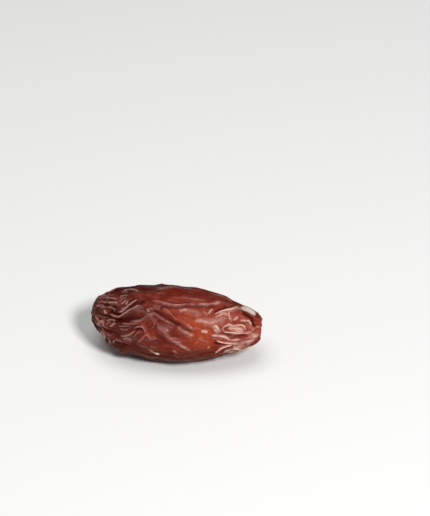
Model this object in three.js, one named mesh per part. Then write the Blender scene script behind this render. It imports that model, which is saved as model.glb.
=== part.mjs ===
// A medjool date lying on its belly: one dried fruit in a folded, glossy skin.
// Millimetres, +Z up. The long axis runs along X, the round tip at -X and the blunt stem end at +X.
// The origin is on the floor under the middle of the fruit, which rests on a small flat spot at z = 0.
import * as THREE from "three";

// The smooth body
const LENGTH = 50;
const TIP_REACH = 22.5;
const HALF_THICKNESS = 11.3;
const TIP_ROUNDNESS = 2.55;
const STEM_TAPER = 0.53;
const STEM_BLUNTNESS = 0.125;
const WIDTH_SHARE = 1.03;
const HEIGHT_SHARE = 0.98;
// How far the flat spot cuts into the round belly, and how far each end rises above the belly's middle line
const FLAT_DEPTH = 0.45;
const TIP_LIFT = 1.4;
const STEM_LIFT = 1.1;

// The skin's grid: rings along the fruit, steps round it, and how far the steps crowd on the folded side
const RINGS = 64;
const AROUND = 86;
const FACE_FOCUS = 0.35;
// A drawn fold is at least this wide, so that the grid can carry it
const FINEST_WIDTH = 0.62;
// The share of a fold's height that is its sharp ridge. The rest is a soft foot, so many times as wide.
const SHARP_SHARE = 0.72;
const FOOT_WIDTHS = 2.6;
// Further off than so many widths of its foot, a fold no longer lifts the skin
const REACH_IN_FEET = 2.5;

// The relief that isn't drawn: how long its cells are, how many go to a radian round the fruit, a seed,
// its height, and how narrow its crests are
const LUMPS = { run: 9, rounds: 1.6, seed: 61, height: 0.7 };
const LONG_FOLDS = { run: 13, rounds: 2.4, seed: 1, height: 0.62, crest: 0.11 };
const SHORT_FOLDS = { run: 7, rounds: 4.4, seed: 21, height: 0.36, crest: 0.12 };
const PUCKERS = { run: 4.5, rounds: 8, seed: 31, height: 0.2, crest: 0.25 };
// Height of the soft panels between the drawn folds
const PANEL_HEIGHT = 0.9;
// Depth of the far side's creases, and how far its skin sinks between the folds
const FAR_CREASE_DEPTH = 0.32;
const FAR_SIDE_SINK = 0.2;
// The relief fades out where the fruit is thinner than this, and stays low near the floor
const THIN_END = 6;
const LOW_SHARE = 0.3;

// The folds are laid out as seen from one side: this far round from -Y towards +X, and this high up.
const SEEN_AROUND = THREE.MathUtils.degToRad(8.2);
const SEEN_HEIGHT = THREE.MathUtils.degToRad(38);
// How far the fruit is tilted in that view, so that its two ends are level, and the view's middle
const SEEN_TILT = THREE.MathUtils.degToRad(5.06);
const SEEN_MIDDLE = new THREE.Vector3(0.1, 0, 12.2);
// The turn of the body that faces this side, counted from +Y past +Z
const FACE_TURN = THREE.MathUtils.degToRad(142);

// Scar of the stalk at the stem end, and nib at the tip
const SCAR_RADIUS = 1.7;
const SCAR_DEPTH = 0.9;
const SCAR_RIM_RADIUS = 2.7;
const SCAR_RIM_HEIGHT = 0.35;
const SCAR_RIM_WIDTH = 0.7;
const NIB_RADIUS = 0.7;
const NIB_HEIGHT = 0.25;
const NIB_DIMPLE_RADIUS = 1.5;
const NIB_DIMPLE_DEPTH = 0.35;
const NIB_DIMPLE_WIDTH = 0.8;

// Folds that stand up from the skin: height, width, and a line of [along, up] points on the face,
// along counted from the tip and up from the level line through the fruit's ends.
const ridges = [
  {
    size: 0.7,
    width: 0.5,
    line: [
      [8.9, 6.7], [9.7, 7.4], [10.9, 7.9], [12.2, 7.9], [13.1, 7.3], [13.4, 6.6],
    ],
  },
  { size: 0.4, width: 0.25, line: [[8, 4.9], [9, 5.5], [10, 5.9], [11, 6]] },
  { size: 0.6, width: 0.25, line: [[8.8, 2.8], [9.4, 3.6], [10, 4.3], [10.5, 4.6]] },
  { size: 0.65, width: 0.25, line: [[10, 3.2], [10.6, 3.9], [11, 4.7]] },
  { size: 0.45, width: 0.26, line: [[3.6, 4], [4.9, 4.4], [6.5, 4.6], [7.8, 4.3]] },
  { size: 0.65, width: 0.5, line: [[4.8, 3.1], [6, 3.5], [7.2, 3.6], [8, 3.1]] },
  { size: 0.45, width: 0.29, line: [[2, 2.8], [3.1, 3.3], [4.3, 3.5]] },
  { size: 0.45, width: 0.25, line: [[4.8, 1.9], [5.8, 2.1], [6.9, 1.9], [7.2, 1.2], [6.6, 0.9]] },
  { size: 0.6, width: 0.37, line: [[4, 1.4], [4.4, 0.6], [4.8, 0]] },
  {
    size: 0.8,
    width: 0.31,
    line: [
      [4.8, 0.9], [5.8, 0.3], [6.8, -0.1], [8.1, -0.4], [9.2, -0.1], [10, 0.5], [10.9, 1.2],
      [11.8, 1.9], [12.8, 2.4], [13.8, 3.2], [14.8, 3.5], [16, 4.3],
    ],
  },
  {
    size: 0.65,
    width: 0.28,
    line: [
      [7.6, 0.8], [8.8, 1], [9.7, 1.5], [10.6, 2.5], [11.8, 3.6], [13.2, 4.7], [14.8, 5.7],
    ],
  },
  { size: 0.45, width: 0.24, line: [[8.6, 1.5], [9.5, 2], [10.3, 2.8], [11.2, 3.7]] },
  { size: 0.6, width: 0.37, line: [[1.2, -0.8], [2.2, -1.6], [3, -2.4], [3.2, -3.3]] },
  { size: 0.6, width: 0.33, line: [[2.5, -3.5], [3.2, -2.7], [3.9, -2], [4.4, -2.8], [5, -3.7]] },
  { size: 0.5, width: 0.3, line: [[5, -2], [5.8, -1.5], [6.8, -1.5], [7.6, -2]] },
  { size: 0.5, width: 0.36, line: [[7.6, -2], [7, -2.9], [6.2, -3.5]] },
  { size: 0.4, width: 0.26, line: [[5, -3], [5.8, -2.4], [6.6, -2.5]] },
  { size: 0.4, width: 0.3, line: [[4.6, 5.6], [5.6, 6.5], [6.8, 7.4]] },
  { size: 0.4, width: 0.26, line: [[8.7, 6.2], [9.8, 6.7], [11.2, 6.8]] },
  { size: 0.4, width: 0.26, line: [[2, 3.6], [3.4, 4.6], [4.6, 5.2], [6.2, 5.6]] },
  { size: 0.4, width: 0.26, line: [[1.4, 1.4], [2.4, 2.2], [3.4, 2.4], [4.6, 2.1]] },
  { size: 0.4, width: 0.26, line: [[8.2, 3.9], [8.9, 4.6], [9.8, 5.1], [10.4, 5.6]] },
  { size: 0.4, width: 0.26, line: [[8.2, -3], [9.6, -3], [11.2, -2.8], [12.6, -2.9]] },
  { size: 0.4, width: 0.4, line: [[8, -6.6], [9.2, -7.2], [10.6, -7.6]] },
  { size: 0.65, width: 0.55, line: [[3.4, -5.4], [4.3, -5.5], [4.8, -6.6], [4.7, -8]] },
  { size: 0.5, width: 0.37, line: [[6, -6.2], [6.4, -7.4], [7.2, -8.6]] },
  { size: 0.5, width: 0.33, line: [[7.3, -8.2], [7.7, -7.6], [8.3, -7]] },
  { size: 0.5, width: 0.33, line: [[10.2, -6.9], [11.2, -6.2], [12.4, -6.3], [13.1, -7.2]] },
  { size: 0.5, width: 0.33, line: [[9, -5.8], [10.6, -5.6], [12, -5.2], [13.2, -4.4], [14, -3.6]] },
  {
    size: 0.6,
    width: 0.29,
    line: [
      [13, -3.6], [14, -2.9], [15, -2.6], [16, -2.8], [16.6, -3.8], [17.2, -4.9],
    ],
  },
  { size: 0.5, width: 0.26, line: [[13.4, -5.9], [14.4, -4.5], [15.4, -3.8]] },
  {
    size: 0.6,
    width: 0.29,
    line: [
      [14, -7.6], [15.3, -6.6], [16.3, -5.5], [17.1, -4.7], [18.4, -5.6], [20.2, -5.9],
    ],
  },
  { size: 0.45, width: 0.29, line: [[9, -2.4], [11, -2.2], [13, -2], [14.6, -1.6]] },
  { size: 0.4, width: 0.29, line: [[9, -3.6], [10.6, -3.9], [12.2, -3.6]] },
  {
    size: 0.5,
    width: 0.6,
    line: [
      [9.4, -1.7], [12, -1.4], [14.6, -0.9], [16.4, 0.2], [17.6, 1.1], [18.6, 1.5], [19.8, 1],
      [21, 0.4], [22.6, -0.2], [24.2, -0.6],
    ],
  },
  {
    size: 0.7,
    width: 0.75,
    line: [
      [25.2, -1.2], [26.2, -1.9], [27.2, -2.7], [28.4, -3.2], [29.6, -3.7], [31.6, -4.3],
    ],
  },
  { size: 0.45, width: 1.2, line: [[20.6, 2.3], [21.8, 2.7], [23, 2.4], [24.2, 1.5]] },
  { size: 0.4, width: 0.25, line: [[25.8, -2.4], [27.2, -3.6], [29.2, -4.4], [31, -4.8]] },
  { size: 0.5, width: 0.6, line: [[16, 2.1], [17.4, 2.5], [18.8, 2.7]] },
  {
    size: 0.5,
    width: 0.37,
    line: [
      [20.4, 2.2], [21.4, 2.9], [22.5, 2.8], [23.2, 2.2], [24.2, 1.2], [25.4, 0.5], [27, -0.2],
    ],
  },
  { size: 0.45, width: 0.25, line: [[22.6, 2.7], [22.8, 1.9], [22.7, 1.3]] },
  {
    size: 0.8,
    width: 0.55,
    line: [
      [16.6, 5.6], [18, 4.9], [19.8, 4.8], [21.5, 4.6], [23.5, 4.4], [25.4, 4.5], [26.8, 4.9],
      [28, 5.3], [29.4, 5.5],
    ],
  },
  {
    size: 0.5,
    width: 0.85,
    line: [
      [27, 5], [28.8, 5.3], [30.4, 5.2], [32.4, 5.4], [34.6, 5.7], [36.8, 6], [39, 6.4],
    ],
  },
  {
    size: 0.4,
    width: 0.6,
    line: [
      [22.4, 7], [24, 6.6], [26.5, 6.9], [29, 6.8], [32, 6.6], [35, 6.9],
    ],
  },
  { size: 0.65, width: 0.8, line: [[18.5, 7.9], [20.5, 8.5], [22.5, 9], [24.5, 9.4]] },
  { size: 0.55, width: 1.3, line: [[26.2, 3.3], [28.2, 3.5], [30.4, 3.2], [32.6, 2.4]] },
  { size: 0.3, width: 0.6, line: [[32.4, 3.8], [33.5, 3], [34.4, 2.1]] },
  { size: 0.5, width: 0.8, line: [[27.8, -0.5], [29, -1.2], [30.4, -2.2]] },
  {
    size: 0.7,
    width: 0.72,
    line: [
      [19.4, -0.8], [19.9, -1.8], [20.8, -2.6], [22, -3.1], [22.8, -4.2], [23.6, -5.1], [25.4, -6],
      [27, -6.8], [28.4, -7.5], [29.4, -8],
    ],
  },
  { size: 0.6, width: 0.35, line: [[25.2, -5.9], [26.6, -6.6], [28.2, -7.4], [30.2, -8.4]] },
  {
    size: 0.45,
    width: 0.31,
    line: [
      [16.8, -0.3], [18, 0], [18.8, -0.5], [19.1, -1.6], [18.6, -2.6], [17.2, -2.9],
    ],
  },
  { size: 0.5, width: 0.31, line: [[15.2, -1.8], [16, -2.6], [16.6, -3.8]] },
  { size: 0.45, width: 0.37, line: [[18.2, -7.4], [19.4, -8], [20.4, -8.6]] },
  { size: 0.6, width: 0.35, line: [[17.4, -8.2], [19, -9.4], [20.2, -10.1], [21.4, -10.6]] },
  { size: 0.45, width: 0.26, line: [[24.8, -9], [26.2, -9.2], [27.6, -9.7]] },
  { size: 0.4, width: 0.25, line: [[25.2, -10], [26.4, -10.2], [27.4, -10.5]] },
  { size: 0.4, width: 0.33, line: [[30.8, -6.6], [31.4, -5.9], [32.4, -5.4]] },
  { size: 0.65, width: 0.75, line: [[30.6, 0.3], [32.2, 0.7], [33.8, 0.3], [35.6, 0.4], [38, 1.2]] },
  {
    size: 0.8,
    width: 0.31,
    line: [
      [35.5, 1.9], [36.4, 2.9], [37.7, 3.6], [39.1, 4.1], [40.4, 4.3], [41.6, 4.7], [42.6, 5.1],
      [43.8, 4.9],
    ],
  },
  { size: 0.5, width: 0.26, line: [[35.9, 1.8], [37.4, 2.5], [38.8, 3.1], [40.1, 3.4]] },
  { size: 0.5, width: 0.26, line: [[40.3, 4.2], [40.2, 3], [40.5, 2.1], [41.4, 1.1]] },
  { size: 0.4, width: 0.45, line: [[34.3, 2.5], [34.9, 3.6], [35.7, 4.5]] },
  { size: 0.45, width: 0.5, line: [[41.6, 1.3], [42.4, 2.1], [43.1, 2.7]] },
  { size: 0.6, width: 0.29, line: [[43.8, 1.9], [45, 1.7], [46.2, 1.7], [47, 1.1], [46.8, 0.3]] },
  {
    size: 0.75,
    width: 0.26,
    line: [
      [40.4, -2], [39.3, -1.9], [38.9, -1.1], [39.3, -0.5], [40, -0.1], [40.7, 0.3], [41.6, 0],
      [43.2, 0.3], [44.6, 0.3], [45.1, -0.3], [45.3, -1.3], [45.6, -2.2],
    ],
  },
  {
    size: 0.7,
    width: 0.26,
    line: [
      [38.8, -0.2], [38.9, -1.2], [39.4, -1.9], [40.6, -2], [42, -2], [43.9, -2], [45.3, -1.8],
      [46.2, -1.8], [47.2, -1], [48.4, 0.1],
    ],
  },
  { size: 0.6, width: 0.24, line: [[39.9, -1], [41.5, -0.9], [43.2, -0.8], [44.7, -0.8]] },
  { size: 0.65, width: 0.33, line: [[35.8, -0.7], [36.8, -0.6], [37.4, -1.2], [37.7, -2]] },
  { size: 0.45, width: 0.33, line: [[36.3, -1.3], [36.9, -2], [37.6, -2.2]] },
  { size: 0.45, width: 0.55, line: [[32.4, -2.8], [33.2, -2.3], [34, -2.3], [34.9, -2.9]] },
  { size: 0.4, width: 0.95, line: [[31.2, -4], [33, -4.5], [34.2, -5], [36, -5]] },
  {
    size: 0.8,
    width: 0.31,
    line: [
      [35.2, -3.9], [35.8, -3.3], [37.4, -3.2], [39.2, -3.2], [40.2, -3.5], [41, -4], [42.2, -4.1],
      [43.8, -3.8], [45.6, -3.5],
    ],
  },
  {
    size: 0.65,
    width: 0.28,
    line: [
      [37, -4.2], [37.8, -4.8], [39.2, -5.1], [41, -5.2], [42.6, -5], [44.4, -4.6],
    ],
  },
  {
    size: 0.8,
    width: 0.28,
    line: [
      [37.4, -8.8], [37.6, -7.9], [38.5, -7.1], [39.9, -6.5], [41.4, -5.9], [43, -5.5],
    ],
  },
  {
    size: 0.65,
    width: 0.3,
    line: [
      [39, -8.5], [40.3, -7.7], [42, -7], [43.9, -6.7], [45.4, -6.4], [47.2, -5.5], [48.8, -4.3],
    ],
  },
  { size: 0.4, width: 0.25, line: [[40, -8.9], [42, -7.8], [44, -7.4], [46, -6.9]] },
  { size: 0.5, width: 0.34, line: [[45.2, -4.5], [47, -4.3], [48.6, -3.5], [49.4, -2.6]] },
  { size: 0.45, width: 0.29, line: [[34.8, -7.3], [35.2, -6.8], [35.6, -6.3]] },
  { size: 0.45, width: 0.33, line: [[38.8, 7.6], [40, 7.2], [41.2, 6.7]] },
  { size: 0.65, width: 0.8, line: [[44.3, 5.4], [45.6, 5], [47, 4.3], [48.4, 3.7]] },
  { size: 0.45, width: 2.4, line: [[26, 10.4], [30, 10.2], [34, 9.6], [38, 8.7], [42, 7.2]] },
];

// Creases that run between the folds, drawn the same way: size is their depth.
const creases = [
  {
    size: 0.7,
    width: 0.45,
    line: [
      [8.6, 0.4], [9.8, 1.1], [11, 2.2], [12.4, 3.2], [13.6, 4], [15, 4.7], [16.4, 5],
    ],
  },
  {
    size: 0.7,
    width: 0.5,
    line: [
      [1.6, -0.4], [3.5, -0.6], [5, -0.8], [6.5, -1.3], [7.9, -1.6], [8.9, -1.4], [10.8, -1],
      [13.1, -0.7], [15.2, -0.3], [16.8, 0.6], [18, 1.7],
    ],
  },
  {
    size: 0.4,
    width: 0.5,
    line: [
      [16.8, 0.8], [18, 1.9], [18.8, 2.1], [20, 1.7], [21.2, 1.1], [22.4, 0.5], [23.8, -0.1],
      [25, -0.7], [26.4, -1.1], [27.6, -2.1], [29.3, -2.8], [31.7, -3.5],
    ],
  },
  {
    size: 0.4,
    width: 0.35,
    line: [
      [17.2, 5.9], [19.8, 5.3], [22.1, 5.1], [25, 5.1], [27.2, 5.5], [28.8, 6],
    ],
  },
  {
    size: 0.35,
    width: 0.4,
    line: [
      [17.8, 4], [19.8, 3.9], [22.1, 3.8], [24.5, 3.8], [26.4, 4.1], [28.3, 4.6], [30.2, 4.7],
      [32.6, 4.9], [34.6, 5], [38, 5.3], [41, 5.8],
    ],
  },
  { size: 0.45, width: 0.4, line: [[35.6, 2.9], [37, 4], [39, 4.9], [41, 5.3], [42.8, 5.8]] },
  {
    size: 0.75,
    width: 0.45,
    line: [
      [43.9, 5.2], [44.6, 4.2], [45.8, 3.3], [47.2, 2.5], [47.5, 1.5], [48.4, 0.7], [49.4, 0.9],
    ],
  },
  {
    size: 0.35,
    width: 0.4,
    line: [
      [38.6, -2.6], [40.5, -2.8], [42.5, -3.1], [44.4, -2.8], [46, -2.6],
    ],
  },
  { size: 0.45, width: 0.35, line: [[36.4, -5.3], [38.4, -5.9], [40.4, -5.8]] },
  { size: 0.5, width: 0.35, line: [[38.6, -8.1], [40.2, -7.1], [42.2, -6.4], [44.2, -6.1]] },
  {
    size: 0.55,
    width: 0.38,
    line: [
      [2.4, -3.9], [4.2, -4.1], [5.8, -4.7], [7.2, -5.3], [8.8, -5.4],
    ],
  },
  { size: 0.55, width: 0.38, line: [[5.3, -5.4], [5.4, -7], [6, -8.6]] },
  { size: 0.45, width: 0.4, line: [[8.2, -7.6], [10, -8.3], [12.4, -8.8]] },
  {
    size: 0.25,
    width: 0.35,
    line: [
      [12.6, -5.1], [13.6, -3.9], [14.8, -3.2], [15.8, -3.6], [16.4, -4.6],
    ],
  },
  { size: 0.25, width: 0.8, line: [[19.2, -3], [20.4, -4.6], [22.4, -6.2], [24.6, -7.4]] },
  { size: 0.45, width: 0.32, line: [[2.6, 2.4], [4.2, 2.6], [6, 2.7], [8.2, 2.3]] },
  { size: 0.45, width: 0.32, line: [[3, 3.8], [4.6, 3.8], [6.4, 4], [8, 3.9]] },
  { size: 0.5, width: 0.35, line: [[5, 1.2], [6.2, 0.9], [7.4, 0.3], [8.8, 0.3], [9.8, 0.9]] },
  { size: 0.5, width: 0.32, line: [[9.2, 2.4], [10.1, 3], [10.9, 3.8], [11.8, 4.8], [12.9, 5.8]] },
  { size: 0.45, width: 0.4, line: [[7, 5.6], [8.4, 6.1], [10, 6.6], [12, 6.8]] },
  { size: 1.3, width: 2.6, line: [[0.4, 5], [2, 7], [4.2, 8.4], [7, 9], [11, 9.6], [15, 10.1]] },
  {
    size: 0.75,
    width: 2.4,
    line: [
      [9, 9.4], [13, 9.9], [17, 10.3], [21, 10.6], [25.5, 10.8], [29.5, 10.7],
    ],
  },
  { size: 0.6, width: 1.3, line: [[39, -9.8], [41.5, -8.9], [44, -8.2], [46.5, -7.4]] },
  { size: 0.8, width: 1.6, line: [[10.5, -11.8], [13, -12.2], [15.5, -12.5], [18, -12.7]] },
  { size: 2, width: 1.2, line: [[0.4, -2.8], [1.8, -4.8], [2.9, -6.2], [3.7, -7.6], [4.6, -9]] },
];

// Towards the eye in that view, along the fruit, and up across it
const towardsEye = new THREE.Vector3(
  Math.sin(SEEN_AROUND) * Math.cos(SEEN_HEIGHT),
  -Math.cos(SEEN_AROUND) * Math.cos(SEEN_HEIGHT),
  Math.sin(SEEN_HEIGHT)
);
const levelRight = new THREE.Vector3(Math.cos(SEEN_AROUND), Math.sin(SEEN_AROUND), 0);
const seenAlong = levelRight.applyAxisAngle(towardsEye, -SEEN_TILT);
const seenUp = new THREE.Vector3().crossVectors(towardsEye, seenAlong);

const thickestX = TIP_REACH - LENGTH / 2;
const axisHeight = HEIGHT_SHARE * HALF_THICKNESS - FLAT_DEPTH;

function bell(distance, width, power = 2) {
  return Math.exp(-Math.pow(distance / width, power));
}

function shareToTip(x) {
  return THREE.MathUtils.clamp((thickestX - x) / TIP_REACH, 0, 1);
}

function shareToStem(x) {
  return THREE.MathUtils.clamp((x - thickestX) / (LENGTH - TIP_REACH), 0, 1);
}

// Half the thickness: a power curve down to the tip, and a taper with a blunt end to the stem.
function thicknessAt(x) {
  const tipSide = Math.sqrt(1 - Math.pow(shareToTip(x), TIP_ROUNDNESS));
  const u = shareToStem(x);
  const stemSide = (1 - STEM_TAPER * u * u) * Math.pow(1 - u * u, STEM_BLUNTNESS);
  return HALF_THICKNESS * Math.min(tipSide, stemSide);
}

// How far the middle line has risen above its lowest place.
function liftAt(x) {
  return TIP_LIFT * shareToTip(x) ** 2 + STEM_LIFT * shareToStem(x) ** 2;
}

// A point of the smooth body: an ellipse round the middle line, turn counted from +Y towards +Z.
function bodyPoint(x, turn) {
  const r = thicknessAt(x);
  const y = WIDTH_SHARE * r * Math.cos(turn);
  const z = axisHeight + liftAt(x) + HEIGHT_SHARE * r * Math.sin(turn);
  return new THREE.Vector3(x, y, z);
}

function bodyNormal(x, turn) {
  const step = 0.001;
  const along = bodyPoint(x + step, turn).sub(bodyPoint(x - step, turn));
  const round = bodyPoint(x, turn + step).sub(bodyPoint(x, turn - step));
  return round.cross(along).normalize();
}

// Carries a point of the view straight back onto the body. The line of sight is cut with the body's ellipse
// at the place so far, and the nearer cut is the next place.
function onFace([along, up]) {
  const start = SEEN_MIDDLE.clone();
  start.addScaledVector(seenAlong, along - LENGTH / 2);
  start.addScaledVector(seenUp, up);
  const place = start.clone().addScaledVector(towardsEye, HALF_THICKNESS);
  for (let round = 0; round < 12; round++) {
    const x = THREE.MathUtils.clamp(place.x, -LENGTH / 2, LENGTH / 2);
    const r = Math.max(thicknessAt(x), 0.5);
    const startY = start.y / (WIDTH_SHARE * r);
    const startZ = (start.z - axisHeight - liftAt(x)) / (HEIGHT_SHARE * r);
    const eyeY = towardsEye.y / (WIDTH_SHARE * r);
    const eyeZ = towardsEye.z / (HEIGHT_SHARE * r);
    const a = eyeY ** 2 + eyeZ ** 2;
    const b = startY * eyeY + startZ * eyeZ;
    const c = startY ** 2 + startZ ** 2 - 1;
    const depth = (Math.sqrt(Math.max(0, b * b - a * c)) - b) / a;
    place.copy(start).addScaledVector(towardsEye, depth);
  }
  return place;
}

// Turns a fold's row into short straight pieces of a smooth curve on the body.
function layFold({ size, width, line }) {
  const curve = new THREE.CatmullRomCurve3(line.map(onFace), false, "catmullrom", 0.5);
  const stops = curve.getPoints(4 * (line.length - 1));
  const pieces = stops.slice(1).map((stop, i) => new THREE.Line3(stops[i], stop));
  const sharp = Math.hypot(width, FINEST_WIDTH);
  const foot = Math.hypot(FOOT_WIDTHS * width, FINEST_WIDTH);
  const reach = new THREE.Box3().setFromPoints(stops).expandByScalar(REACH_IN_FEET * foot);
  return { size, sharp, foot, pieces, reach };
}

// Height of one fold at a place: a sharp bell on a broad one across its line, fading out at both ends.
function foldHeight({ size, sharp, foot, pieces, reach }, place) {
  if (!reach.containsPoint(place)) {
    return 0;
  }
  const nearest = new THREE.Vector3();
  let distance = Infinity;
  let share = 0;
  pieces.forEach((piece, i) => {
    const t = piece.closestPointToPointParameter(place, true);
    const gap = piece.at(t, nearest).distanceTo(place);
    if (gap < distance) {
      distance = gap;
      share = (i + t) / pieces.length;
    }
  });
  const fade = THREE.MathUtils.smoothstep(Math.min(share, 1 - share), 0, 0.22);
  const across = SHARP_SHARE * bell(distance, sharp, 1.6) + (1 - SHARP_SHARE) * bell(distance, foot);
  return size * (0.15 + 0.85 * fade) * across;
}

function highest(folds, place) {
  return Math.max(0, ...folds.map((fold) => foldHeight(fold, place)));
}

// A number from -1 to 1 for each lattice corner.
function lattice(i, j, k, seed) {
  const s = Math.sin(i * 127.1 + j * 311.7 + k * 74.7 + seed * 53.3) * 43758.5453;
  return 2 * (s - Math.floor(s)) - 1;
}

// Gradient noise: a slope at each lattice corner, blended by a quintic between the corners.
function noise(x, y, z, seed) {
  const cell = [x, y, z].map(Math.floor);
  const [fx, fy, fz] = [x - cell[0], y - cell[1], z - cell[2]];
  const [wx, wy, wz] = [fx, fy, fz].map((f) => f * f * f * (f * (f * 6 - 15) + 10));
  let total = 0;
  for (const dx of [0, 1]) {
    for (const dy of [0, 1]) {
      for (const dz of [0, 1]) {
        const corner = [cell[0] + dx, cell[1] + dy, cell[2] + dz];
        const slope =
          lattice(...corner, seed) * (fx - dx) +
          lattice(...corner, seed + 1) * (fy - dy) +
          lattice(...corner, seed + 2) * (fz - dz);
        total += slope * Math.abs(1 - dx - wx) * Math.abs(1 - dy - wy) * Math.abs(1 - dz - wz);
      }
    }
  }
  return total;
}

// Noise on the skin with cells run mm long, and rounds of them per radian.
function roundNoise(x, turn, run, rounds, seed) {
  return noise(x / run, rounds * Math.cos(turn), rounds * Math.sin(turn), seed);
}

// The same with cells that bend from side to side along the fruit.
function wandering(x, turn, { run, rounds, seed }) {
  const bent = turn + 0.3 * roundNoise(x, turn, 9, 1.3, seed + 7);
  const shifted = x + 3 * roundNoise(x, turn, 7, 2.1, seed + 11);
  return roundNoise(shifted, bent, run, rounds, seed);
}

// A fold along the lines where the noise changes sign.
function crest(value, width) {
  return 1 / (1 + (value / width) ** 2);
}

// The hollow scar with its rim at the stem end, and the nib in its dimple at the tip.
function endHeight(x) {
  const r = thicknessAt(x);
  if (x > 0) {
    return SCAR_RIM_HEIGHT * bell(r - SCAR_RIM_RADIUS, SCAR_RIM_WIDTH) - SCAR_DEPTH * bell(r, SCAR_RADIUS);
  }
  return NIB_HEIGHT * bell(r, NIB_RADIUS) - NIB_DIMPLE_DEPTH * bell(r - NIB_DIMPLE_RADIUS, NIB_DIMPLE_WIDTH);
}

// Height of the skin over the smooth body. The face has its drawn folds and soft panels between them,
// the far side and the tip have folds that wander along the fruit, and both have broad lumps. The tip is
// puckered too.
function relief(x, turn, place, laidRidges, laidCreases) {
  const hidden = 1 - THREE.MathUtils.smoothstep(Math.cos(turn - FACE_TURN), -0.25, 0.25);
  const tip = THREE.MathUtils.smoothstep(-x, 15, 21);
  const wild = Math.min(1, hidden + 0.5 * tip);
  const nearEnds = THREE.MathUtils.smoothstep(thicknessAt(x), 0, THIN_END);
  const resting = LOW_SHARE + (1 - LOW_SHARE) * THREE.MathUtils.smoothstep(place.z, 0.5, 4.5);
  const shortNoise = wandering(x, turn, SHORT_FOLDS);
  const lumps = LUMPS.height * wandering(x, turn, LUMPS);
  const panels = PANEL_HEIGHT * shortNoise;
  const longFolds = LONG_FOLDS.height * crest(wandering(x, turn, LONG_FOLDS), LONG_FOLDS.crest);
  const shortFolds = SHORT_FOLDS.height * crest(shortNoise, SHORT_FOLDS.crest);
  const downFolds = FAR_CREASE_DEPTH * crest(shortNoise + 0.2, SHORT_FOLDS.crest) + FAR_SIDE_SINK;
  const puckered = PUCKERS.height * THREE.MathUtils.smoothstep(-x, 9, 17);
  const puckers = puckered * crest(wandering(x, turn, PUCKERS), PUCKERS.crest);
  const folds = longFolds + shortFolds - downFolds;
  const undrawn = lumps + wild * folds + (1 - wild) * panels + puckers;
  const drawn = highest(laidRidges, place) - highest(laidCreases, place);
  return nearEnds * (resting * undrawn + drawn) + endHeight(x);
}

// x of each ring, spaced evenly along the body's outline from the tip to the stem end.
function evenStations(count) {
  const samples = 4000;
  const angles = Array.from({ length: samples + 1 }, (_, i) => (Math.PI * i) / samples);
  const xs = angles.map((angle) => (-LENGTH / 2) * Math.cos(angle));
  const runs = [0];
  for (let i = 1; i <= samples; i++) {
    const rise = thicknessAt(xs[i]) - thicknessAt(xs[i - 1]);
    runs.push(runs[i - 1] + Math.hypot(xs[i] - xs[i - 1], rise));
  }
  const stations = [];
  for (let n = 1; n <= count; n++) {
    const run = (runs[samples] * n) / (count + 1);
    const i = runs.findIndex((value) => value >= run);
    const t = (run - runs[i - 1]) / (runs[i] - runs[i - 1]);
    stations.push(xs[i - 1] + t * (xs[i] - xs[i - 1]));
  }
  return stations;
}

// The closed skin: rings of points, a fan at each end, and no point below the floor,
// moved so that the origin is under the middle of its box. Each four-cornered cell is cut in two between the
// corners that are more alike in height, so that the cut runs along a fold.
function skinGeometry() {
  const laidRidges = ridges.map(layFold);
  const laidCreases = creases.map(layFold);
  const positions = [];
  const heights = [];
  const indices = [];
  for (const x of evenStations(RINGS)) {
    for (let j = 0; j < AROUND; j++) {
      const evenTurn = (2 * Math.PI * j) / AROUND;
      const turn = evenTurn - FACE_FOCUS * Math.sin(evenTurn - FACE_TURN);
      const place = bodyPoint(x, turn);
      const height = relief(x, turn, place, laidRidges, laidCreases);
      const point = place.addScaledVector(bodyNormal(x, turn), height);
      positions.push(point.x, point.y, Math.max(0, point.z));
      heights.push(height);
    }
  }
  const tipPole = RINGS * AROUND;
  const stemPole = tipPole + 1;
  for (const end of [-LENGTH / 2, LENGTH / 2]) {
    const pole = bodyPoint(end, 0);
    positions.push(end + Math.sign(end) * endHeight(end), pole.y, pole.z);
  }
  const lastRing = (RINGS - 1) * AROUND;
  for (let j = 0; j < AROUND; j++) {
    const next = (j + 1) % AROUND;
    indices.push(tipPole, next, j);
    indices.push(stemPole, lastRing + j, lastRing + next);
    for (let ring = 0; ring < lastRing; ring += AROUND) {
      const [a, b] = [ring + j, ring + next];
      const [c, d] = [b + AROUND, a + AROUND];
      const cutsAC = Math.abs(heights[a] - heights[c]) < Math.abs(heights[b] - heights[d]);
      indices.push(...(cutsAC ? [a, b, c, a, c, d] : [a, b, d, b, c, d]));
    }
  }
  const geometry = new THREE.BufferGeometry();
  geometry.setAttribute("position", new THREE.Float32BufferAttribute(positions, 3));
  geometry.setIndex(indices);
  geometry.computeBoundingBox();
  const middle = geometry.boundingBox.getCenter(new THREE.Vector3());
  geometry.translate(-middle.x, -middle.y, 0);
  geometry.computeVertexNormals();
  return geometry;
}

const skinMaterial = new THREE.MeshStandardMaterial({ color: 0x5a1c14, roughness: 0.35, metalness: 0 });
const dateMesh = new THREE.Mesh(skinGeometry(), skinMaterial);
dateMesh.name = "date";

const date = new THREE.Group();
date.add(dateMesh);

export default date;
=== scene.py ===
"""A medjool date lying on its belly, on a plain pale floor under soft studio light.

The skin is one closed surface on a grid: rings from the tip (-X) to the blunt stem end (+X), and steps round
the long axis. Its folds are lines drawn on the side that faces the camera, and noise on the other side.
Lengths are in millimetres and angles in radians, until the mesh is written in metres.
"""

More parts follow.
